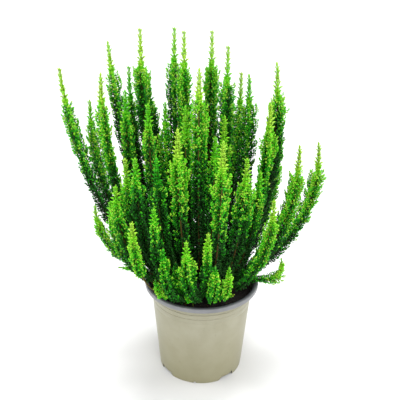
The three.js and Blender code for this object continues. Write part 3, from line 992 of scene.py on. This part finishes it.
def finish_by_youth_and_light(name, stops, roughness, pale):
    """A finish that runs from old to young along the ramp, by a number that also carries painted shade and
    light. It is painted darker at a leaf's foot, as shade, and lighter and paler towards its point.
    """
    material = new_material(name)
    youth_and_light = add_node(material, "Attribute", attribute_name="leaf_youth_and_painted_light").outputs["Fac"]
    reach = add_node(material, "Attribute", attribute_name="leaf_reach").outputs["Fac"]
    ramp = add_node(material, "ValToRGB", {"Fac": youth_and_light})
    set_ramp(ramp, stops)
    towards_point = add_node(material, "Math", {0: reach, 1: PALE_SHARE}, operation="MULTIPLY")
    paler = add_node(material, "Mix", {0: towards_point, 6: ramp, 7: linear(pale)}, data_type="RGBA")
    # The foot of each leaf is painted darker, as shade, and its point lighter, as light.
    light = add_node(material, "MapRange", {"Value": reach, "To Min": FOOT_LIGHT, "To Max": POINT_LIGHT})
    lit = add_node(material, "VectorMath", {0: paler.outputs[2], "Scale": light}, operation="SCALE")
    satin = {"Value": youth_and_light, "To Min": roughness + 0.08, "To Max": roughness - 0.04}
    wax = add_node(material, "MapRange", satin)
    inputs = {"Base Color": lit, "Roughness": wax, "IOR": WAX_IOR, "Specular IOR Level": WAX_SPECULAR}
    return finished(material, inputs)


# The age number also carries painted shade, so the dark end of the ramp paints shade as well.
OLD_LEAVES = [(0, "#032A0A"), (0.25, "#05500E"), (0.45, "#10800C")]
YOUNG_LEAVES = [(0.65, "#36B814"), (0.84, "#76D41C"), (1, "#B0DE42")]
BARK = [(0, "#4A3512"), (0.35, "#8C6022"), (0.7, "#C2A83C"), (1, "#CCDC5A")]
heather_leaf = finish_by_youth_and_light("waxy_heather_leaf", OLD_LEAVES + YOUNG_LEAVES, 0.42, "#74E850")
heather_bark = finish_by_youth_and_light("heather_bark", BARK, 0.6, "#C8C080")
print("foliage finishes:", heather_leaf.name, "and", heather_bark.name)

# %% [markdown]
# ## Growing the leafy stems
# Side shoots stand on the cane in pairs, each pair turned a quarter from the last, and they bend upwards:
# more low down, where they stand out from the cane at first, and less near the top. A shoot is bent by
# laying its straight pattern along an arc, and the arc along the stem. A Curve modifier would bend one
# shoot at a time, so it is done in arrays, because one plant has more than ten thousand shoots.

# %% Growth rules
# The distances between pairs of shoots, at these distances below the stem's top.
PAIR_STEP_BELOW = np.array([0, 35, 60, 110, 190]) * MM
PAIR_STEPS = np.array([1.5, 1.1, 0.84, 0.95, 1.5]) * MM
# How far a shoot leans out from the cane where it starts and where it ends.
LOW_START, HIGH_START = math.radians(62), math.radians(40)
LOW_END, HIGH_END = math.radians(28), math.radians(16)
SHOULDER = 45 * MM


def pair_places(line, first, last):
    """Where the pairs of shoots stand along a stem: closest below its tip, and further apart low down."""
    places = [last]
    while places[-1] > first:
        places.append(places[-1] - float(np.interp(line.length - places[-1], PAIR_STEP_BELOW, PAIR_STEPS)))
    return np.array(places[:-1])


def arc_place(z, length, start, end):
    """How far out and how far up a point of a bent shoot is, and the angle of the shoot there."""
    angle = start + (end - start) * z / length
    bend = (end - start) / length
    return (np.cos(start) - np.cos(angle)) / bend, (np.sin(angle) - np.sin(start)) / bend, angle


# %% [markdown]
# Two rules shape the foliage as a whole. Its age falls from 1 in the slim tip to almost 0 at the foot, and
# sooner on a short stem, partly as real age and partly as painted shade low down. Painted shade takes from
# it where a stem is closed in, and painted light from the side adds to the low foliage at the front.
# Its reach is a little more than the solid's, because neighbours mesh into each other where solids have to
# keep apart.

# %% Age, painted shade and light, and reach of the foliage
AGE_BELOW = np.array([0, 16, 36, 70, 130, 260]) * MM
AGES = [1.0, 1.0, 1.0, 0.8, 0.32, 0.12]
# How much painted shade a closed-in stem's foliage takes, and how much painted light the low front gets.
SHADE_LOSS = 0.85
SIDE_LIGHT = 0.22
SIDE_LIGHT_DEPTHS = np.array([15, 50]) * MM
SIDE_LIGHT_HEIGHTS = np.array([110, 150]) * MM
# A stem's half width: at its narrow ends, at its widest, and what a short stem has, with its gain by length.
NARROW, WIDEST = 2.2 * MM, 7.4 * MM
SLENDER, SLENDER_GAIN = 3.4 * MM, 0.028
RISE_LENGTH, FALL_LENGTH = 30 * MM, 35 * MM
FULL_FROM, FULL_FADE = 60 * MM, 60 * MM
WAVE_PITCH, WAVE = 5.5 * MM, 0.09


def youth_with_painted_light(line, along, glow):
    """The age of foliage at distances along a stem, less painted shade and plus painted side light."""
    below = (line.length - along) / min(1, 0.3 + line.length / (280 * MM))
    youth_and_light = np.interp(below, AGE_BELOW, AGES)
    place = line.at(along.ravel(), "points").reshape(*along.shape, 3)
    at_front = np.interp(place @ FRONT, SIDE_LIGHT_DEPTHS, [0, 1])
    low_down = np.interp(place[..., 2], SIDE_LIGHT_HEIGHTS, [1, 0])
    return youth_and_light + glow + SIDE_LIGHT * at_front * low_down - SHADE_LOSS * line.at(along, "shade")


def full_reach(line, soil_line, slim_from, fuller):
    """How far the foliage reaches along a stem. It widens from the soil up, swells in slight waves and closes
    in at the slim tip. fuller widens all but the top of a stem that closes a gap in the plant."""
    low_down = ((line.length - line.along - FULL_FROM) / FULL_FADE).clip(0, 1)
    widest = (1 + (fuller - 1) * low_down) * min(WIDEST, SLENDER + SLENDER_GAIN * line.length)
    rise = ((line.along - soil_line) / RISE_LENGTH).clip(0, 1)
    fall = ((slim_from + 5 * MM - line.along) / FALL_LENGTH).clip(0, 1)
    waves = 1 + WAVE * np.sin(line.along / WAVE_PITCH + 40 * line.length)
    full = NARROW + (widest * waves - NARROW) * (0.15 + 0.85 * rise) * fall**0.8
    return np.where(line.along < slim_from, np.maximum(line.reach * 1.1 * rise, full), full)


# %% [markdown]
# Each stem becomes one mesh. Its corners keep their leaf's age, with its painted shade and light, and their
# reach along the leaf, and a UV map says the same once more, for the export: age runs across it and reach
# runs up it, with the bark in a band at the top.

# %% One mesh for each stem
BARK_BAND = 0.93
LEAF_BAND_START, LEAF_BAND_HEIGHT = 0.05, 0.75
SWAY = 0.004


def build_stem(name, parts):
    """A stem's piece, from parts of (corners, triangles, age with painted shade and light, reach, whether it
    is wood). The sway keeps the corners of a triangle apart in the UV map, where they would otherwise lie on
    one line."""
    counts = [len(part[0]) for part in parts]
    corners, youth_and_light, reach = (np.concatenate([part[i] for part in parts]) for i in (0, 2, 3))
    triangles = np.concatenate([part[1] + start for part, start in zip(parts, np.cumsum([0] + counts))])
    wood = np.repeat([part[4] for part in parts], counts)
    sway = SWAY * np.where(np.concatenate([np.arange(count) for count in counts]) % 2, 1, -1)
    up = np.where(wood, BARK_BAND + 2 * sway, LEAF_BAND_START + LEAF_BAND_HEIGHT * reach)
    uv = np.column_stack([youth_and_light.clip(0.02, 0.98) + sway, up])
    finish = wood[triangles[:, 0]]
    values = {"leaf_youth_and_painted_light": youth_and_light, "leaf_reach": reach}
    return build_piece(name, corners, triangles, [heather_leaf, heather_bark], finish, finish, values, uv)


def along_the_line(line, along, across):
    """Places for corners that lie at distances along a stem's line and off it by (x, y)."""
    point, tangent, front, side = line.frames(along)
    return point + front * across[:, :1] + side * across[:, 1:2]


# %% Cane and slim tip
CANE_TOP_RADIUS, CANE_SWELL = 0.35, 0.55
BARK_BELOW = np.array([0, 25, 60, 120, 220]) * MM
BARK_AGES = [1.0, 0.9, 0.7, 0.45, 0.2]
TONE_SPREAD = 0.05


def grow_cane(line, first, glow):
    """The woody middle, from under the soil to the stem's top, and thicker low down."""
    corners, triangles = cane_pattern
    share = corners[:, 2]
    along = first + (line.length - first) * share
    radius = (CANE_TOP_RADIUS + CANE_SWELL * (1 - share.clip(0, 1)) ** 0.6) * MM
    places = along_the_line(line, along, corners[:, :2] * radius[:, None])
    youth_and_light = np.interp(line.length - along, BARK_BELOW, BARK_AGES) + glow / 2
    return places, triangles, youth_and_light, np.zeros(len(youth_and_light)), True


def grow_tip(draw, line, first, glow):
    """The slim tip, stretched to fit, and slimmer on a short stem."""
    length = line.length - first
    corners, triangles, number, reach = tips[int(abs(TIP_LENGTHS - length).argmin())]
    stretched = first + corners[:, 2] * length / corners[:, 2].max()
    slimmer = min(1, 0.55 + line.length / (420 * MM))
    places = along_the_line(line, stretched, corners[:, :2] * slimmer)
    tone = draw.normal(0, TONE_SPREAD, number.max() + 1)
    youth_and_light = youth_with_painted_light(line, stretched, glow) + tone[number]
    return places, triangles, youth_and_light, reach, False


# %% [markdown]
# The side shoots are chosen first and then laid on the stem. Each is as long as the foliage reaches at the
# height where the shoot ends, which is found in three steps, because a longer shoot ends higher up. About a
# third are bright and long and the others duller and shorter, which breaks the stem's surface into tufts.
# On a part of a stem that lies nearly level, the shoots grow from the upper side only. A few stems are open
# in front: two thirds of the shoots that face the front are left out, and the eye looks into the dark
# between the stems.

# %% Side shoots of a stem
BRIGHT_SHARE = 0.35
# Bright shoots stand out of the stem, and their lighter tone is partly painted light.
BRIGHT_TONE, DULL_TONE = 0.12, -0.08
# About one leaf in four is painted light as a glint and the rest darker; the twig is painted dark as shade.
GLINT_SHARE = 0.28
GLINT_TONE, LEAF_TONE, TWIG_PAINTED_SHADE = 0.3, -0.22, -0.35
YOUNGEST_SHOOT, YOUNGEST_LEAF = 0.95, 1.0
TURN_SPREAD, LEAN_SPREAD = math.radians(9), 0.08
DRIFT, DRIFT_LENGTH = math.radians(40), 120 * MM
TIP_ZONE = 60 * MM
TIP_YOUTH = 0.24
LEVEL_FROM = 0.75
SHORTEST, LONGEST = 3 * MM, 16.5 * MM
LEAF_BEYOND = 0.4 * MM
OPEN_BELOW, OPEN_FACING = 40 * MM, 0.45


def choose_shoots(draw, line, first, last, level_growth, open_front):
    """For each side shoot of a stem: where it starts, which way it grows, and which pattern it takes."""
    places = pair_places(line, first, last)
    pair = np.repeat(np.arange(len(places)), 2)
    count = len(pair)
    along = np.repeat(places, 2) + draw.uniform(-0.5, 0.5, count) * MM
    # The two shoots of a pair stand across from each other, and each pair is a quarter turn on from the last.
    quarter = math.radians(45) + (pair % 2) * math.pi / 2 + (np.arange(count) % 2) * math.pi
    drift = draw.uniform(-1, 1) * DRIFT * (along - first) / DRIFT_LENGTH
    turn = quarter + drift + draw.normal(0, TURN_SPREAD, count)
    below = line.length - along
    lowness = np.clip(below / SHOULDER, 0, 1)
    start = HIGH_START + (LOW_START - HIGH_START) * lowness + draw.normal(0, LEAN_SPREAD, count)
    end = HIGH_END + (LOW_END - HIGH_END) * lowness + draw.normal(0, LEAN_SPREAD, count)
    out_of_one, up_of_one, _ = arc_place(1, 1, start, end)
    length = line.at(along, "reach") / out_of_one
    for _ in range(3):
        length = (line.at(along + length * up_of_one, "reach") - LEAF_BEYOND) / out_of_one
    # Bright shoots pass the outline, most of all near the top, and dull ones stay inside it.
    bright = draw.uniform(0, 1, count) < BRIGHT_SHARE
    near_top = np.clip(1 - below / TIP_ZONE, 0, 1)
    long_one = draw.uniform(1.0, 1.15, count) + 0.15 * near_top
    length *= np.where(bright, long_one, draw.uniform(0.6, 1.02, count))
    point, tangent, front, side = line.frames(along)
    out = front * np.cos(turn)[:, None] + side * np.sin(turn)[:, None]
    # Where the stem lies level, its shoots shorten to as little as half, and none hangs from the underside.
    level = 1 - (tangent[:, 2] / LEVEL_FROM).clip(level_growth, 1)
    length *= (1 - 0.5 * level) * (1 - 0.6 * (-out[:, 2]).clip(0, 1))
    length = np.clip(length, SHORTEST, LONGEST)
    nearest = abs(SHOOT_LENGTHS[None] - length[:, None]).argmin(1)
    nearest[(level > 0.15) & (out[:, 2] < -0.15)] = -1
    thinned = (out @ FRONT > OPEN_FACING) & (below > OPEN_BELOW) & (draw.uniform(0, 1, count) < open_front)
    nearest[thinned] = -1
    # Bright shoots get a lighter tone and dull ones a darker, partly as painted light and shade.
    tone = draw.normal(0, TONE_SPREAD, count) + np.where(bright, BRIGHT_TONE, DULL_TONE)
    kind = draw.integers(0, SHOOT_KINDS, count)
    pattern = np.where(nearest < 0, -1, nearest * SHOOT_KINDS + kind)
    rows = dict(along=along, start=start, end=end, length=length, near_top=near_top, tone=tone)
    return rows | dict(pattern=pattern, point=point, tangent=tangent, out=out, beside=np.cross(tangent, out))


def lay_shoots(draw, line, rows, glow):
    """Bends the patterns of the chosen shoots along their arcs, and gives every leaf its age, with painted
    shade, light and glints in it.
    """
    parts = []
    for i, standard in enumerate(SHOOT_LENGTHS):
        for k in range(SHOOT_KINDS):
            chosen = np.flatnonzero(rows["pattern"] == i * SHOOT_KINDS + k)
            if not len(chosen):
                continue
            shoot = {key: values[chosen][:, None] for key, values in rows.items()}
            corners, triangles, number, reach = shoots[i][k]
            z = corners[None, :, 2] * (shoot["length"] / standard)
            outwards, upwards, angle = arc_place(z, shoot["length"], shoot["start"], shoot["end"])
            outwards = outwards + corners[None, :, 0] * np.cos(angle)
            upwards = upwards - corners[None, :, 0] * np.sin(angle)
            places = (
                shoot["point"]
                + shoot["out"] * outwards[..., None]
                + shoot["tangent"] * upwards[..., None]
                + shoot["beside"] * corners[None, :, 1:2]
            )
            # A leaf is a painted glint or a plain one by chance, less so in the shade, and lighter up its
            # shoot:
            # partly younger, and partly painted shade on the leaves near the cane, inside the stem.
            glint = draw.uniform(0, 1, (len(chosen), number.max() + 1)) < GLINT_SHARE
            tones = np.where(glint, GLINT_TONE, LEAF_TONE)
            tones += draw.normal(0, TONE_SPREAD, tones.shape)
            # The twig between the leaves is painted dark, as the shade in the gaps.
            tones[:, 0] = TWIG_PAINTED_SHADE
            spread = 1 - 0.2 * line.at(rows["along"][chosen], "shade")[:, None]
            tone = tones[:, number] * spread + TIP_YOUTH * shoot["near_top"]
            rise = z / shoot["length"]
            youth_and_light = youth_with_painted_light(line, shoot["along"] + upwards, glow) + 0.5 * (rise - 0.6)
            youth_and_light = np.minimum(youth_and_light + shoot["tone"], YOUNGEST_SHOOT) + tone
            youth_and_light = np.minimum(youth_and_light, YOUNGEST_LEAF)
            steps = len(corners) * np.arange(len(chosen))[:, None, None]
            copies = (triangles[None] + steps).reshape(-1, 3)
            parts.append((places.reshape(-1, 3), copies, youth_and_light.ravel(), np.tile(reach, len(chosen)), False))
    return parts


# %% [markdown]
# ### What differs from stem to stem
# Most stems follow the rules as they are. Some are bare at the foot, one lies nearly level and still grows
# all round, some are fuller and close a gap, and some are open in front. The glow makes a stem's foliage
# younger or older than its place says, and so lighter or darker: partly a real difference in age from stem
# to stem, and partly painted light and shade on whole stems.

# %% Leafy stems
BARE_FOOT = 12 * MM
SLIM_SHARE = 0.115
SLIM_LEAST, SLIM_MOST = 9 * MM, 31 * MM
CANE_DEPTH = 5 * MM
TIP_OVERLAP = 3 * MM
GLOW_SPREAD = 0.04


def by_stem(*groups):
    """Values for the stems that differ, from groups of a value and the numbers of its stems."""
    return {f"leafy_stem_{number:02d}": value for value, stems in groups for number in stems}


BARE_FEET = by_stem((72 * MM, [38]), (36 * MM, [35, 36]), (30 * MM, [37]))
LEVEL_GROWTH = by_stem((1.0, [46]))
FULLER = by_stem((1.5, [22, 30, 51, 52]), (1.3, [20, 21, 23, 24, 28, 29, 53, 54, 55, 56]))
OPEN_FRONT = by_stem((0.65, [13, 14, 25, 26, 27, 28, 31]))
# Stems painted lighter or darker as a whole, partly for real age and partly as painted light and shade.
LIGHTER = by_stem((0.22, [48, 49, 50]), (0.2, [42]), (0.15, [14]), (0.1, [27]), (0.08, [26]), (0.05, [38]))
DARK_ONES = [13, 24, 25, 31, 33, 45, 51, 52, 53]
DARKER = by_stem((-0.05, [40]), (-0.08, [28]), (-0.1, [39, 44]), (-0.12, DARK_ONES), (-0.2, [32]))
GLOW = LIGHTER | DARKER
shoot_total, triangle_total = 0, 0
for index, name in enumerate(stem_names):
    draw = np.random.default_rng(1000 + index)
    line = lines[name]
    glow = GLOW.get(name, 0) + draw.normal(0, GLOW_SPREAD)
    soil_line = float(np.interp(SOIL_TOP, line.points[:, 2], line.along))
    slim = np.clip(SLIM_SHARE * line.length, SLIM_LEAST, SLIM_MOST) * draw.uniform(0.85, 1.15)
    slim_from = line.length - slim
    line.reach = full_reach(line, soil_line, slim_from, FULLER.get(name, 1))
    parts = [grow_cane(line, soil_line - CANE_DEPTH, glow)]
    first = soil_line + BARE_FEET.get(name, BARE_FOOT)
    rows = choose_shoots(draw, line, first, slim_from, LEVEL_GROWTH.get(name, 0), OPEN_FRONT.get(name, 0))
    parts += lay_shoots(draw, line, rows, glow)
    parts.append(grow_tip(draw, line, slim_from - TIP_OVERLAP, glow))
    foliage = build_stem("foliage_" + name[-2:], parts)
    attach(foliage, "root")
    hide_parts(name)
    shoot_total += int((rows["pattern"] >= 0).sum())
    triangle_total += len(foliage.data.polygons)
print("foliage:", shoot_total, "side shoots and", triangle_total, "faces in", len(stem_names), "pieces")

# %% [markdown]
# ## The studio
# The plant stands on a white sweep with a soft grey shadow at the pot's foot. A matt pale floor under a
# white sky gives that shadow by itself. The sky is bright at the horizon and darker overhead, as walls of
# white cloth round a table are, so that light reaches the stems from the sides. Four softboxes add the
# glints on the leaves: one nearly overhead, one on each side, and one in front. Each is a sun lamp with a
# wide angle, which keeps its strength at any distance.

# %% Floor and light
deselect()
bpy.ops.mesh.primitive_plane_add(size=80, location=(0, 0, -0.3 * MM))
floor = placed("floor")
white_sweep = new_material("matt_white_sweep")
wear(floor, finished(white_sweep, {"Base Color": linear("#E0E0E0"), "Roughness": 0.9}))
floor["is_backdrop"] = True

sky = bpy.data.worlds.new("white_sky")
sky.use_nodes = True
sky.node_tree.nodes.clear()
direction = add_node(sky, "TexCoord").outputs["Generated"]
height = add_node(sky, "SeparateXYZ", {"Vector": direction}).outputs["Z"]
# Full strength up to a quarter of the way up, and less than a quarter of it from 0.7 of the way up.
dimming = {"Value": height, "From Min": 0.25, "From Max": 0.7, "To Min": 1.0, "To Max": 0.22}
brightness = add_node(sky, "MapRange", dimming)
glow = add_node(sky, "Background", {"Color": (1, 1, 1, 1), "Strength": brightness})
add_node(sky, "OutputWorld", {"Surface": glow})
bpy.context.scene.world = sky


def soft_light(name, tilt, turn, energy, spread):
    """A wide soft sun: tilted from straight down, then turned round the plant."""
    deselect()
    bpy.ops.object.light_add(type="SUN", rotation=(math.radians(tilt), 0, math.radians(turn)))
    bpy.context.object.name = name
    bpy.context.object.data.energy = energy
    bpy.context.object.data.angle = math.radians(spread)


# Tilt and turn in degrees, strength, and how wide the light is in degrees.
soft_light("softbox_top", 8, 180, 2.6, 24)
soft_light("softbox_left", 56, -96, 1.1, 45)
soft_light("softbox_right", 56, 96, 1.1, 45)
soft_light("softbox_front", 44, 8, 1.6, 40)
bpy.context.scene.view_settings.view_transform = "Standard"
print("a floor and four softboxes under a white sky")

# %% [markdown]
# ## Sizes and finish
# The dressed plant and the solids are both measured, and both boxes are printed.

# %% Sizes
visual_low, visual_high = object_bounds()
sizes = {
    "cad": [list(map(float, cad_low)), list(map(float, cad_high))],
    "visual": [list(map(float, visual_low)), list(map(float, visual_high))],
}
for key, box in sizes.items():
    print(key, "box in mm:", [[round(x / MM, 1) for x in corner] for corner in box])
